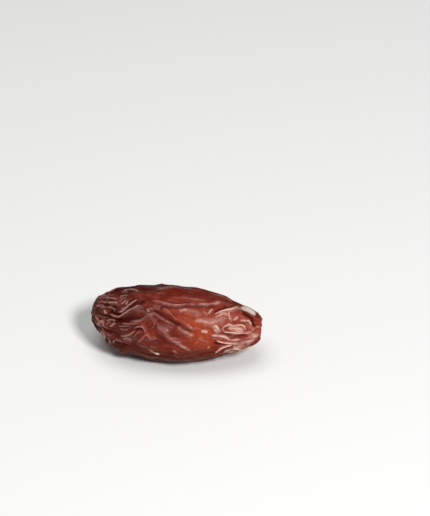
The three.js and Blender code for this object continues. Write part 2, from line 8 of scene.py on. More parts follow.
import bpy
import numpy as np
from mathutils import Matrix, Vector


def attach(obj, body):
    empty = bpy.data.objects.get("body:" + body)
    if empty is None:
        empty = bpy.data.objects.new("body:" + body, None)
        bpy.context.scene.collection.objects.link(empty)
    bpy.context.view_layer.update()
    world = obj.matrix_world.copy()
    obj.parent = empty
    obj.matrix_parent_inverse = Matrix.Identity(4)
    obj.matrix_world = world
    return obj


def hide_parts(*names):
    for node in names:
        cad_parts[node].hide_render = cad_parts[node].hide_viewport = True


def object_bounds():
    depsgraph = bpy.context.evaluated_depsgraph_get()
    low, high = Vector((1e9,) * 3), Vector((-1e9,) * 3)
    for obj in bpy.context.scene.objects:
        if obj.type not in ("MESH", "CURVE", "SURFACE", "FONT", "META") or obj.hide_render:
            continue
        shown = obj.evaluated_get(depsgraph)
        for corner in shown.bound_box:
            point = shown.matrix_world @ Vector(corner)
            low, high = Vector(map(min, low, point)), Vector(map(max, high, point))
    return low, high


MM = 0.001

# The body
LENGTH = 50.0
TIP_REACH = 22.5
HALF_THICKNESS = 11.3
TIP_ROUNDNESS = 2.55
STEM_TAPER = 0.53
STEM_BLUNTNESS = 0.125
WIDTH_SHARE = 1.03
HEIGHT_SHARE = 0.98
FLAT_DEPTH = 0.45
TIP_LIFT = 1.4
STEM_LIFT = 1.1
AXIS_HEIGHT = HEIGHT_SHARE * HALF_THICKNESS - FLAT_DEPTH

# The photograph's view, which the folds are drawn in: its turn from -Y towards +X, and its height
AZIMUTH = np.radians(8.2)
ELEVATION = np.radians(38)
# The tilt of the line between the date's ends in that view, and the line's middle
FACE_TILT = np.radians(5.06)
FACE_CENTRE = np.array([0.1, 0, 12.2])
# Steps that carry a point of the view onto the body
FACE_STEPS = 12
# The turn of the body that faces this view, and the turn of its belly
FACE_TURN = np.radians(142)
BELLY_TURN = np.radians(250)

# The grid of the skin, and how much closer its points lie on the face than on the far side
RINGS = 300
AROUND = 330
FACE_FOCUS = 0.35
# Steps of the outline along which the rings are spaced
OUTLINE_STEPS = 4000

# A drawn fold is a sharp bell on a broad foot: the bell's share and power, and the foot's width in bells
SHARP_SHARE = 0.72
SHARP_POWER = 1.6
FOOT_WIDTHS = 2.6
# The share of a fold's run over which it fades at each end, and the height that is left there
FADE_SHARE = 0.22
END_HEIGHT = 0.15
# How far a fold is followed to its sides, in widths
REACH_WIDTHS = 6
# A fold shows in full where it is this high, and not wider
FULL_FOLD = 0.6

# Noise on the skin: the length of its cells, its rounds per radian, and its seed
LUMPS = (9, 1.6, 61)
LONG_FOLDS = (13, 2.4, 1)
SHORT_FOLDS = (7, 4.4, 21)
PUCKERS = (4.5, 8, 31)
DIMPLES = (4, 7.5, 91)
# How far its cells bend round the date, in radians, and along it
BEND_ROUND = 0.30
BEND_ALONG = 3.0
# Heights of the forms that it makes
LUMP_HEIGHT = 0.7
LONG_FOLD_HEIGHT = 0.62
SHORT_FOLD_HEIGHT = 0.36
PUCKER_HEIGHT = 0.38
PANEL_HEIGHT = 0.9
DIMPLE_HEIGHT = 0.3
# Widths of its folds, creases and puckers, as a share of the noise's own range
FOLD_CREST = 0.075
CREASE_CREST = 0.07
PUCKER_CREST = 0.12
# The share of a pucker that lies under the skin
PUCKER_SINK = 0.3
# The far side's creases lie beside its short folds, and it sinks a little as a whole
FAR_CREASE_DEPTH = 0.32
FAR_CREASE_SHIFT = 0.16
FAR_SIDE_SINK = 0.2
# Relief fades where the body is thinner than this, and this share of it is left on the floor
THIN_END = 6
LOW_SHARE = 0.3
# How dull the belly and the tip are
BELLY_DULLNESS = 0.85
TIP_DULLNESS = 0.6
# Creases deeper than this get the full painted crease shade
DARKEST_DEPTH = 0.7

# The stalk's scar at the stem end, and the nib at the tip
SCAR_RADIUS = 1.7
SCAR_DEPTH = 0.9
SCAR_RIM_RADIUS = 2.7
SCAR_RIM_HEIGHT = 0.35
SCAR_RIM_WIDTH = 0.7
NIB_RADIUS = 0.7
NIB_HEIGHT = 0.25
NIB_DIMPLE_RADIUS = 1.5
NIB_DIMPLE_DEPTH = 0.35
NIB_DIMPLE_WIDTH = 0.8

# Folds that stand up, drawn on the face: height, width, then (along, up) points
RIDGES = [
    # The crumpled tip
    (0.70, 0.50, [(8.9, 6.7), (9.7, 7.4), (10.9, 7.9), (12.2, 7.9), (13.1, 7.3), (13.4, 6.6)]),
    (0.40, 0.25, [(8.0, 4.9), (9.0, 5.5), (10.0, 5.9), (11.0, 6.0)]),
    (0.60, 0.25, [(8.8, 2.8), (9.4, 3.6), (10.0, 4.3), (10.5, 4.6)]),
    (0.65, 0.25, [(10.0, 3.2), (10.6, 3.9), (11.0, 4.7)]),
    (0.45, 0.26, [(3.6, 4.0), (4.9, 4.4), (6.5, 4.6), (7.8, 4.3)]),
    (0.65, 0.50, [(4.8, 3.1), (6.0, 3.5), (7.2, 3.6), (8.0, 3.1)]),
    (0.45, 0.29, [(2.0, 2.8), (3.1, 3.3), (4.3, 3.5)]),
    (0.45, 0.25, [(4.8, 1.9), (5.8, 2.1), (6.9, 1.9), (7.2, 1.2), (6.6, 0.9)]),
    (0.60, 0.37, [(4.0, 1.4), (4.4, 0.6), (4.8, 0.0)]),
    (0.80, 0.31, [(4.8, 0.9), (5.8, 0.3), (6.8, -0.1), (8.1, -0.4), (9.2, -0.1), (10.0, 0.5),
                  (10.9, 1.2), (11.8, 1.9), (12.8, 2.4), (13.8, 3.2), (14.8, 3.5), (16.0, 4.3)]),
    (0.65, 0.28, [(7.6, 0.8), (8.8, 1.0), (9.7, 1.5), (10.6, 2.5), (11.8, 3.6), (13.2, 4.7), (14.8, 5.7)]),
    (0.45, 0.24, [(8.6, 1.5), (9.5, 2.0), (10.3, 2.8), (11.2, 3.7)]),
    (0.60, 0.37, [(1.2, -0.8), (2.2, -1.6), (3.0, -2.4), (3.2, -3.3)]),
    (0.60, 0.33, [(2.5, -3.5), (3.2, -2.7), (3.9, -2.0), (4.4, -2.8), (5.0, -3.7)]),
    (0.50, 0.30, [(5.0, -2.0), (5.8, -1.5), (6.8, -1.5), (7.6, -2.0)]),
    (0.50, 0.36, [(7.6, -2.0), (7.0, -2.9), (6.2, -3.5)]),
    (0.40, 0.26, [(5.0, -3.0), (5.8, -2.4), (6.6, -2.5)]),
    (0.40, 0.30, [(4.6, 5.6), (5.6, 6.5), (6.8, 7.4)]),
    (0.40, 0.26, [(8.7, 6.2), (9.8, 6.7), (11.2, 6.8)]),
    (0.40, 0.26, [(2.0, 3.6), (3.4, 4.6), (4.6, 5.2), (6.2, 5.6)]),
    (0.40, 0.26, [(1.4, 1.4), (2.4, 2.2), (3.4, 2.4), (4.6, 2.1)]),
    (0.40, 0.26, [(8.2, 3.9), (8.9, 4.6), (9.8, 5.1), (10.4, 5.6)]),
    (0.40, 0.26, [(8.2, -3.0), (9.6, -3.0), (11.2, -2.8), (12.6, -2.9)]),
    (0.40, 0.40, [(8.0, -6.6), (9.2, -7.2), (10.6, -7.6)]),
    (0.65, 0.55, [(3.4, -5.4), (4.3, -5.5), (4.8, -6.6), (4.7, -8.0)]),
    (0.50, 0.37, [(6.0, -6.2), (6.4, -7.4), (7.2, -8.6)]),
    (0.50, 0.33, [(7.3, -8.2), (7.7, -7.6), (8.3, -7.0)]),
    (0.50, 0.33, [(10.2, -6.9), (11.2, -6.2), (12.4, -6.3), (13.1, -7.2)]),
    (0.50, 0.33, [(9.0, -5.8), (10.6, -5.6), (12.0, -5.2), (13.2, -4.4), (14.0, -3.6)]),
    (0.60, 0.29, [(13.0, -3.6), (14.0, -2.9), (15.0, -2.6), (16.0, -2.8), (16.6, -3.8), (17.2, -4.9)]),
    (0.50, 0.26, [(13.4, -5.9), (14.4, -4.5), (15.4, -3.8)]),
    (0.60, 0.29, [(14.0, -7.6), (15.3, -6.6), (16.3, -5.5), (17.1, -4.7), (18.4, -5.6), (20.2, -5.9)]),
    (0.45, 0.29, [(9.0, -2.4), (11.0, -2.2), (13.0, -2.0), (14.6, -1.6)]),
    (0.40, 0.29, [(9.0, -3.6), (10.6, -3.9), (12.2, -3.6)]),
    # The long folds of the middle
    (0.50, 0.60, [(9.4, -1.7), (12.0, -1.4), (14.6, -0.9), (16.4, 0.2), (17.6, 1.1), (18.6, 1.5),
                  (19.8, 1.0), (21.0, 0.4), (22.6, -0.2), (24.2, -0.6)]),
    (0.70, 0.75, [(25.2, -1.2), (26.2, -1.9), (27.2, -2.7), (28.4, -3.2), (29.6, -3.7), (31.6, -4.3)]),
    (0.45, 1.20, [(20.6, 2.3), (21.8, 2.7), (23.0, 2.4), (24.2, 1.5)]),
    (0.40, 0.25, [(25.8, -2.4), (27.2, -3.6), (29.2, -4.4), (31.0, -4.8)]),
    (0.50, 0.60, [(16.0, 2.1), (17.4, 2.5), (18.8, 2.7)]),
    (0.50, 0.37, [(20.4, 2.2), (21.4, 2.9), (22.5, 2.8), (23.2, 2.2), (24.2, 1.2), (25.4, 0.5),
                  (27.0, -0.2)]),
    (0.45, 0.25, [(22.6, 2.7), (22.8, 1.9), (22.7, 1.3)]),
    (0.80, 0.55, [(16.6, 5.6), (18.0, 4.9), (19.8, 4.8), (21.5, 4.6), (23.5, 4.4), (25.4, 4.5),
                  (26.8, 4.9), (28.0, 5.3), (29.4, 5.5)]),
    (0.50, 0.85, [(27.0, 5.0), (28.8, 5.3), (30.4, 5.2), (32.4, 5.4), (34.6, 5.7), (36.8, 6.0),
                  (39.0, 6.4)]),
    (0.40, 0.60, [(22.4, 7.0), (24.0, 6.6), (26.5, 6.9), (29.0, 6.8), (32.0, 6.6), (35.0, 6.9)]),
    (0.65, 0.80, [(18.5, 7.9), (20.5, 8.5), (22.5, 9.0), (24.5, 9.4)]),
    (0.55, 1.30, [(26.2, 3.3), (28.2, 3.5), (30.4, 3.2), (32.6, 2.4)]),
    (0.30, 0.60, [(32.4, 3.8), (33.5, 3.0), (34.4, 2.1)]),
    (0.50, 0.80, [(27.8, -0.5), (29.0, -1.2), (30.4, -2.2)]),
    (0.70, 0.72, [(19.4, -0.8), (19.9, -1.8), (20.8, -2.6), (22.0, -3.1), (22.8, -4.2), (23.6, -5.1),
                  (25.4, -6.0), (27.0, -6.8), (28.4, -7.5), (29.4, -8.0)]),
    (0.60, 0.35, [(25.2, -5.9), (26.6, -6.6), (28.2, -7.4), (30.2, -8.4)]),
    (0.45, 0.31, [(16.8, -0.3), (18.0, 0.0), (18.8, -0.5), (19.1, -1.6), (18.6, -2.6), (17.2, -2.9)]),
    (0.50, 0.31, [(15.2, -1.8), (16.0, -2.6), (16.6, -3.8)]),
    (0.45, 0.37, [(18.2, -7.4), (19.4, -8.0), (20.4, -8.6)]),
    (0.60, 0.35, [(17.4, -8.2), (19.0, -9.4), (20.2, -10.1), (21.4, -10.6)]),
    (0.45, 0.26, [(24.8, -9.0), (26.2, -9.2), (27.6, -9.7)]),
    (0.40, 0.25, [(25.2, -10.0), (26.4, -10.2), (27.4, -10.5)]),
    (0.40, 0.33, [(30.8, -6.6), (31.4, -5.9), (32.4, -5.4)]),
    # The fine, bright folds of the stem end
    (0.65, 0.75, [(30.6, 0.3), (32.2, 0.7), (33.8, 0.3), (35.6, 0.4), (38.0, 1.2)]),
    (0.80, 0.31, [(35.5, 1.9), (36.4, 2.9), (37.7, 3.6), (39.1, 4.1), (40.4, 4.3), (41.6, 4.7),
                  (42.6, 5.1), (43.8, 4.9)]),
    (0.50, 0.26, [(35.9, 1.8), (37.4, 2.5), (38.8, 3.1), (40.1, 3.4)]),
    (0.50, 0.26, [(40.3, 4.2), (40.2, 3.0), (40.5, 2.1), (41.4, 1.1)]),
    (0.40, 0.45, [(34.3, 2.5), (34.9, 3.6), (35.7, 4.5)]),
    (0.45, 0.50, [(41.6, 1.3), (42.4, 2.1), (43.1, 2.7)]),
    (0.60, 0.29, [(43.8, 1.9), (45.0, 1.7), (46.2, 1.7), (47.0, 1.1), (46.8, 0.3)]),
    (0.75, 0.26, [(40.4, -2.0), (39.3, -1.9), (38.9, -1.1), (39.3, -0.5), (40.0, -0.1), (40.7, 0.3),
                  (41.6, 0.0), (43.2, 0.3), (44.6, 0.3), (45.1, -0.3), (45.3, -1.3), (45.6, -2.2)]),
    (0.70, 0.26, [(38.8, -0.2), (38.9, -1.2), (39.4, -1.9), (40.6, -2.0), (42.0, -2.0), (43.9, -2.0),
                  (45.3, -1.8), (46.2, -1.8), (47.2, -1.0), (48.4, 0.1)]),
    (0.60, 0.24, [(39.9, -1.0), (41.5, -0.9), (43.2, -0.8), (44.7, -0.8)]),
    (0.65, 0.33, [(35.8, -0.7), (36.8, -0.6), (37.4, -1.2), (37.7, -2.0)]),
    (0.45, 0.33, [(36.3, -1.3), (36.9, -2.0), (37.6, -2.2)]),
    (0.45, 0.55, [(32.4, -2.8), (33.2, -2.3), (34.0, -2.3), (34.9, -2.9)]),
    (0.40, 0.95, [(31.2, -4.0), (33.0, -4.5), (34.2, -5.0), (36.0, -5.0)]),
    (0.80, 0.31, [(35.2, -3.9), (35.8, -3.3), (37.4, -3.2), (39.2, -3.2), (40.2, -3.5), (41.0, -4.0),
                  (42.2, -4.1), (43.8, -3.8), (45.6, -3.5)]),
    (0.65, 0.28, [(37.0, -4.2), (37.8, -4.8), (39.2, -5.1), (41.0, -5.2), (42.6, -5.0), (44.4, -4.6)]),
    (0.80, 0.28, [(37.4, -8.8), (37.6, -7.9), (38.5, -7.1), (39.9, -6.5), (41.4, -5.9), (43.0, -5.5)]),
    (0.65, 0.30, [(39.0, -8.5), (40.3, -7.7), (42.0, -7.0), (43.9, -6.7), (45.4, -6.4), (47.2, -5.5),
                  (48.8, -4.3)]),
    (0.40, 0.25, [(40.0, -8.9), (42.0, -7.8), (44.0, -7.4), (46.0, -6.9)]),
    (0.50, 0.34, [(45.2, -4.5), (47.0, -4.3), (48.6, -3.5), (49.4, -2.6)]),
    (0.45, 0.29, [(34.8, -7.3), (35.2, -6.8), (35.6, -6.3)]),
    (0.45, 0.33, [(38.8, 7.6), (40.0, 7.2), (41.2, 6.7)]),
    (0.65, 0.80, [(44.3, 5.4), (45.6, 5.0), (47.0, 4.3), (48.4, 3.7)]),
    # A broad swelling of the outline
    (0.45, 2.40, [(26.0, 10.4), (30.0, 10.2), (34.0, 9.6), (38.0, 8.7), (42.0, 7.2)]),
]

# Creases between the folds, drawn the same way: depth, width, points
CREASES = [
    (0.70, 0.45, [(8.6, 0.4), (9.8, 1.1), (11.0, 2.2), (12.4, 3.2), (13.6, 4.0), (15.0, 4.7), (16.4, 5.0)]),
    (0.70, 0.50, [(1.6, -0.4), (3.5, -0.6), (5.0, -0.8), (6.5, -1.3), (7.9, -1.6), (8.9, -1.4),
                  (10.8, -1.0), (13.1, -0.7), (15.2, -0.3), (16.8, 0.6), (18.0, 1.7)]),
    (0.40, 0.50, [(16.8, 0.8), (18.0, 1.9), (18.8, 2.1), (20.0, 1.7), (21.2, 1.1), (22.4, 0.5),
                  (23.8, -0.1), (25.0, -0.7), (26.4, -1.1), (27.6, -2.1), (29.3, -2.8), (31.7, -3.5)]),
    (0.40, 0.35, [(17.2, 5.9), (19.8, 5.3), (22.1, 5.1), (25.0, 5.1), (27.2, 5.5), (28.8, 6.0)]),
    (0.35, 0.40, [(17.8, 4.0), (19.8, 3.9), (22.1, 3.8), (24.5, 3.8), (26.4, 4.1), (28.3, 4.6),
                  (30.2, 4.7), (32.6, 4.9), (34.6, 5.0), (38.0, 5.3), (41.0, 5.8)]),
    (0.45, 0.40, [(35.6, 2.9), (37.0, 4.0), (39.0, 4.9), (41.0, 5.3), (42.8, 5.8)]),
    (0.75, 0.45, [(43.9, 5.2), (44.6, 4.2), (45.8, 3.3), (47.2, 2.5), (47.5, 1.5), (48.4, 0.7),
                  (49.4, 0.9)]),
    (0.35, 0.40, [(38.6, -2.6), (40.5, -2.8), (42.5, -3.1), (44.4, -2.8), (46.0, -2.6)]),
    (0.45, 0.35, [(36.4, -5.3), (38.4, -5.9), (40.4, -5.8)]),
    (0.50, 0.35, [(38.6, -8.1), (40.2, -7.1), (42.2, -6.4), (44.2, -6.1)]),
    (0.55, 0.38, [(2.4, -3.9), (4.2, -4.1), (5.8, -4.7), (7.2, -5.3), (8.8, -5.4)]),
    (0.55, 0.38, [(5.3, -5.4), (5.4, -7.0), (6.0, -8.6)]),
    (0.45, 0.40, [(8.2, -7.6), (10.0, -8.3), (12.4, -8.8)]),
    (0.25, 0.35, [(12.6, -5.1), (13.6, -3.9), (14.8, -3.2), (15.8, -3.6), (16.4, -4.6)]),
    (0.25, 0.80, [(19.2, -3.0), (20.4, -4.6), (22.4, -6.2), (24.6, -7.4)]),
    (0.45, 0.32, [(2.6, 2.4), (4.2, 2.6), (6.0, 2.7), (8.2, 2.3)]),
    (0.45, 0.32, [(3.0, 3.8), (4.6, 3.8), (6.4, 4.0), (8.0, 3.9)]),
    (0.50, 0.35, [(5.0, 1.2), (6.2, 0.9), (7.4, 0.3), (8.8, 0.3), (9.8, 0.9)]),
    (0.50, 0.32, [(9.2, 2.4), (10.1, 3.0), (10.9, 3.8), (11.8, 4.8), (12.9, 5.8)]),
    (0.45, 0.40, [(7.0, 5.6), (8.4, 6.1), (10.0, 6.6), (12.0, 6.8)]),
    # Broad dents in the outline
    (1.30, 2.60, [(0.4, 5.0), (2.0, 7.0), (4.2, 8.4), (7.0, 9.0), (11.0, 9.6), (15.0, 10.1)]),
    (0.75, 2.40, [(9.0, 9.4), (13.0, 9.9), (17.0, 10.3), (21.0, 10.6), (25.5, 10.8), (29.5, 10.7)]),
    (0.60, 1.30, [(39.0, -9.8), (41.5, -8.9), (44.0, -8.2), (46.5, -7.4)]),
    (0.80, 1.60, [(10.5, -11.8), (13.0, -12.2), (15.5, -12.5), (18.0, -12.7)]),
    (2.00, 1.20, [(0.4, -2.8), (1.8, -4.8), (2.9, -6.2), (3.7, -7.6), (4.6, -9.0)]),
]

# Colours of the skin and the studio
DEEP_RED = "#621A10"
RED_BROWN = "#802A18"
MAROON = "#481C16"
ROSE_BROWN = "#943A29"
# Painted shade for the rim of the face, top and bottom as the camera sees it
RIM_SHADE_RED = "#4A120A"
# Painted orange glow of light through thin flesh
GLOW_AMBER = "#A43E12"
# Painted shade in the creases, and the dark of the skin's streaks
CREASE_SHADE_AND_STREAK_DARK = "#400A07"
# Painted shade: the belly, turned from the lamps, darker
BELLY_SHADE_BROWN = "#44180C"
# A waxy rose bloom that also stands in for a painted sheen
ROSE_BLOOM_SHEEN = "#A04C3E"
# Paler wax on the crests of folds, partly a painted highlight
ROSE_FOLD_HIGHLIGHT = "#AC6C60"
# Dusty crests of the tip's folds, partly a painted highlight
DUSTY_MAUVE_HIGHLIGHT = "#A88880"
# Pale lifted skin, partly a painted highlight
LOOSE_SKIN_AND_HIGHLIGHT = "#E6BCAC"
# Grey-white of the painted glints
GLINT_WHITE = "#DCCABE"
PAPER_WHITE = "#F4F4F2"

# Painted glow of light through the thin flesh: (along, up) on the face, and the patch's radius
GLOW_SPOTS = [
    (29.0, 0.4, 1.6), (31.4, -0.9, 2.0), (34.5, -1.8, 2.0), (31.8, -5.2, 2.2), (36.0, -4.6, 1.4),
]

# Pale patches where the skin has lifted off the flesh, partly painted highlights
LOOSE_AND_HIGHLIGHT_SPOTS = [
    (47.8, -2.4, 1.3), (46.5, -5.0, 2.0), (43.0, -6.2, 1.6), (41.2, -0.9, 1.4), (43.2, -0.9, 1.4),
    (38.4, 3.0, 1.2), (38.0, -3.5, 1.0),
]

# Pale lines where the skin has lifted off the flesh, and painted highlights along folds: how much, width,
# then (along, up) points
LOOSE_AND_HIGHLIGHT_LINES = [
    (0.50, 0.50, [(8.2, 6.0), (9.4, 7.2), (10.9, 7.9), (12.2, 7.9), (13.6, 6.8)]),
    (0.35, 0.60, [(7.4, 4.6), (8.6, 5.3), (9.8, 5.8), (10.8, 5.6)]),
    (0.35, 0.50, [(5.0, 3.0), (6.0, 3.5), (7.2, 3.6), (8.2, 3.0)]),
    (0.45, 0.45, [(0.2, 0.6), (0.6, -0.8), (1.6, -1.6), (2.4, -2.6)]),
    (0.35, 0.55, [(7.8, -1.6), (7.2, -2.6), (6.4, -3.6)]),
    (0.40, 0.90, [(3.2, -4.2), (4.5, -5.8), (4.9, -8.2)]),
    (0.35, 0.80, [(5.6, -5.2), (6.3, -7.0), (7.2, -9.2)]),
    (0.35, 1.00, [(9.6, -6.6), (11.4, -6.9), (13.4, -7.4)]),
    (0.70, 0.50, [(18.4, 4.8), (20.4, 4.7), (22.5, 4.4), (24.5, 4.5), (26.6, 4.7)]),
    (0.38, 0.85, [(19.2, -0.8), (20.4, -2.0), (22.0, -3.1), (23.2, -4.4), (24.8, -5.3)]),
    (0.55, 0.40, [(22.2, 0.1), (23.2, -0.4), (24.4, -0.8), (25.0, -1.2)]),
    (0.60, 0.25, [(22.5, 2.9), (22.8, 1.9), (22.7, 1.0)]),
    (0.90, 0.30, [(26.0, -6.4), (27.6, -7.2), (28.8, -7.7), (30.4, -8.5)]),
    (0.48, 0.65, [(25.2, -1.3), (26.4, -2.0), (27.6, -2.9), (29.0, -3.5), (30.0, -3.8), (31.6, -4.2)]),
    (0.40, 1.40, [(26.4, 3.2), (28.6, 3.3), (30.8, 2.9), (33.6, 2.0)]),
    (1.00, 0.40, [(25.8, 3.0), (26.8, 3.3), (28.4, 3.6)]),
    (0.55, 0.50, [(27.4, -0.3), (28.6, -0.9), (29.6, -1.6), (31.0, -2.6)]),
    (1.00, 0.50, [(30.2, 0.0), (31.6, 0.6), (33.0, 0.6), (34.6, 0.2), (36.6, 0.3)]),
    (0.55, 1.40, [(32.0, 0.4), (36.0, 0.8), (40.0, 2.0)]),
    (0.45, 0.70, [(36.4, -3.4), (39.2, -3.8), (42.0, -4.6), (45.4, -4.2)]),
    (0.40, 0.80, [(38.6, -2.8), (41.6, -2.9), (44.8, -2.9)]),
    (0.25, 0.40, [(32.2, -2.6), (33.2, -2.3), (34.0, -2.3), (35.0, -2.9)]),
    (0.30, 0.90, [(31.2, -4.0), (32.8, -4.6), (34.0, -5.1), (36.0, -5.1)]),
    (1.00, 0.65, [(35.4, -0.4), (36.6, -0.8), (37.4, -1.7), (37.9, -3.0)]),
    (1.00, 0.30, [(44.6, 0.2), (45.3, -1.4), (46.1, -1.9), (47.2, -1.0), (48.4, 0.0), (50.4, 0.8)]),
    (0.70, 0.80, [(39.0, 3.8), (41.0, 4.6), (42.6, 5.1), (44.6, 5.4)]),
    (0.60, 0.50, [(39.6, 4.8), (40.3, 3.4), (40.8, 2.0), (41.8, 0.6)]),
    (1.00, 0.40, [(43.4, 2.0), (44.6, 1.7), (45.6, 1.7)]),
    (0.45, 0.90, [(44.4, 1.2), (46.2, 0.8), (47.8, -0.4)]),
    (0.80, 0.50, [(36.8, -9.6), (40.0, -8.3), (43.0, -7.5), (46.0, -6.7), (49.2, -4.6)]),
    (0.60, 0.25, [(24.4, -8.8), (26.2, -9.3), (28.0, -10.0)]),
    (0.50, 0.22, [(24.8, -9.9), (26.4, -10.2), (27.8, -10.6)]),
    (0.15, 0.90, [(29.4, 5.2), (32.0, 5.4), (35.0, 5.8), (38.6, 6.4)]),
]

# Painted grey-white glints, drawn as flakes: how much, width, points
PAINTED_GLINTS = [
    (1.00, 1.00, [(43.2, 6.0), (44.6, 5.3), (45.8, 4.8), (47.0, 4.2), (48.6, 3.4)]),
    (1.00, 0.26, [(17.4, -8.2), (19.0, -9.5), (20.0, -10.0), (20.9, -10.3), (22.0, -10.6)]),
]

# How far the edges of patches, of lines and of glints stray, and the size of the noise's cells there
PATCH_EDGE = (2.2, 1.9)
LINE_EDGE = (0.5, 1.1)
GLINT_EDGE = (0.2, 1.1)

# The studio, in metres: half the floor's width, and the point that the lamps aim at
FLOOR_HALF = 2
LAMP_AIM = (0, 0, 0.01)
# The strength of the studio's own faint glow
STUDIO_GLOW = 0.14

# The camera, in metres: its distance, and the middle of the date
CAMERA_DISTANCE = 0.6
DATE_MIDDLE = (0, 0, 0.0115)
# The photograph: its scale, its size in pixels, and where the middle of the date is in it
MM_PER_PIXEL = 50.0 / 170.2
FRAME_WIDTH, FRAME_HEIGHT = 430, 516
DATE_X, DATE_Y = 175.8, 321.5
# The camera's sensor in mm
SENSOR_WIDTH = 36


def shares(x):
    """How far x lies towards the tip and towards the stem end: 0 at the thickest place, and 1 at the end."""
    thickest = TIP_REACH - LENGTH / 2
    return np.clip((thickest - x) / TIP_REACH, 0, 1), np.clip((x - thickest) / (LENGTH - TIP_REACH), 0, 1)


def thickness(x):
    """Half the body's thickness at x: a power curve to the tip, and a taper with a blunt end to the stem."""
    to_tip, to_stem = shares(x)
    tip_side = np.sqrt(1 - to_tip**TIP_ROUNDNESS)
    stem_side = (1 - STEM_TAPER * to_stem**2) * (1 - to_stem**2) ** STEM_BLUNTNESS
    return HALF_THICKNESS * np.minimum(tip_side, stem_side)


def lift(x):
    """How far the middle line has risen above its lowest place."""
    to_tip, to_stem = shares(x)
    return TIP_LIFT * to_tip**2 + STEM_LIFT * to_stem**2


def body(x, turn):
    """Points of the smooth body: an ellipse round the bent middle line at each x."""
    r = thickness(x)
    y = WIDTH_SHARE * r * np.cos(turn)
    z = AXIS_HEIGHT + lift(x) + HEIGHT_SHARE * r * np.sin(turn)
    return np.stack([x + 0 * turn, y, z], axis=-1)


def even_stations(count):
    """x of each ring, spaced evenly along the body's outline from the tip to the stem end."""
    fine = -LENGTH / 2 * np.cos(np.linspace(0, np.pi, OUTLINE_STEPS + 1))
    r = thickness(fine)
    run = np.concatenate([[0], np.cumsum(np.hypot(np.diff(fine), np.diff(r)))])
    return np.interp(np.linspace(0, run[-1], count), run, fine)


def looking_from(azimuth, elevation):
    """Unit vectors towards the eye, to its right and up, for a turn from -Y towards +X and a height."""
    level = np.cos(elevation)
    back = np.array([np.sin(azimuth) * level, -np.cos(azimuth) * level, np.sin(elevation)])
    right = np.array([np.cos(azimuth), np.sin(azimuth), 0])
    return back, right, np.cross(back, right)


def on_face(points):
    """Carries (along, up) points of the face straight back onto the body.

    Each point of the picture is a line through the body. Its place is found step by step: the body's ellipse
    at the place so far is cut by the line, and the nearer cut is the next place.
    """
    back, right, up = looking_from(AZIMUTH, ELEVATION)
    level = right * np.cos(FACE_TILT) - up * np.sin(FACE_TILT)
    upright = right * np.sin(FACE_TILT) + up * np.cos(FACE_TILT)
    seen = np.array(points)
    start = FACE_CENTRE + np.outer(seen[:, 0] - LENGTH / 2, level) + np.outer(seen[:, 1], upright)
    place = start + HALF_THICKNESS * back
    for _ in range(FACE_STEPS):
        x = np.clip(place[:, 0], -LENGTH / 2, LENGTH / 2)
        r = np.maximum(thickness(x), 0.5)
        y0, y1 = start[:, 1] / (WIDTH_SHARE * r), back[1] / (WIDTH_SHARE * r)
        z0, z1 = (start[:, 2] - AXIS_HEIGHT - lift(x)) / (HEIGHT_SHARE * r), back[2] / (HEIGHT_SHARE * r)
        a, b, c = y1**2 + z1**2, y0 * y1 + z0 * z1, y0**2 + z0**2 - 1
        depth = (np.sqrt(np.maximum(b**2 - a * c, 0)) - b) / a
        place = start + depth[:, None] * back
    return place


def rounded(points, steps=4):
    """A Catmull-Rom curve through the points."""
    p = np.vstack([2 * points[0] - points[1], points, 2 * points[-1] - points[-2]])
    t = (np.arange(steps) / steps)[:, None]
    runs = [
        0.5 * (2 * b + (c - a) * t + (2 * a - 5 * b + 4 * c - d) * t**2 + (3 * b - a - 3 * c + d) * t**3)
        for a, b, c, d in zip(p, p[1:], p[2:], p[3:])
    ]
    return np.vstack([*runs, points[-1:]])


def rise(value, start, end):
    """0 up to the start, 1 from the end on, and an S-shaped step between."""
    t = np.clip((value - start) / (end - start), 0, 1)
    return t * t * (3 - 2 * t)


def bell(value, middle, width):
    """1 in the middle, and a smooth fall on both sides."""
    return np.exp(-(((value - middle) / width) ** 2))


def line_height(places, points, width):
    """Height of one fold, 1 on its line: a sharp bell on a broad one, and both fade at its ends."""
    line = rounded(on_face(points))
    height = np.zeros(len(places))
    reach = np.ptp(line, axis=0) / 2 + REACH_WIDTHS * width
    near = np.all(np.abs(places - line.mean(0)) < reach, axis=1)
    spots = places[near]
    best = np.full(len(spots), np.inf)
    part = np.zeros(len(spots))
    count = len(line) - 1
    for k in range(count):
        a, step = line[k], line[k + 1] - line[k]
        t = np.clip((spots - a) @ step / (step @ step), 0, 1)
        gap = np.linalg.norm(spots - a - t[:, None] * step, axis=1)
        closer = gap < best
        best = np.where(closer, gap, best)
        part = np.where(closer, (k + t) / count, part)
    inner = rise(np.minimum(part, 1 - part), 0, FADE_SHARE)
    sharp = SHARP_SHARE * np.exp(-((best / width) ** SHARP_POWER))
    broad = (1 - SHARP_SHARE) * bell(best, 0, FOOT_WIDTHS * width)
    height[near] = (END_HEIGHT + (1 - END_HEIGHT) * inner) * (sharp + broad)
    return height


def highest(places, rows):
    """The highest of a list's folds at each place, from rows of height, width and points."""
    return np.maximum.reduce([height * line_height(places, line, width) for height, width, line in rows])


def lattice(ix, iy, iz, seed):
    """A number from -1 to 1 for each lattice corner, the same every run."""
    s = np.sin(ix * 127.1 + iy * 311.7 + iz * 74.7 + seed * 53.3) * 43758.5453
    return 2 * (s - np.floor(s)) - 1


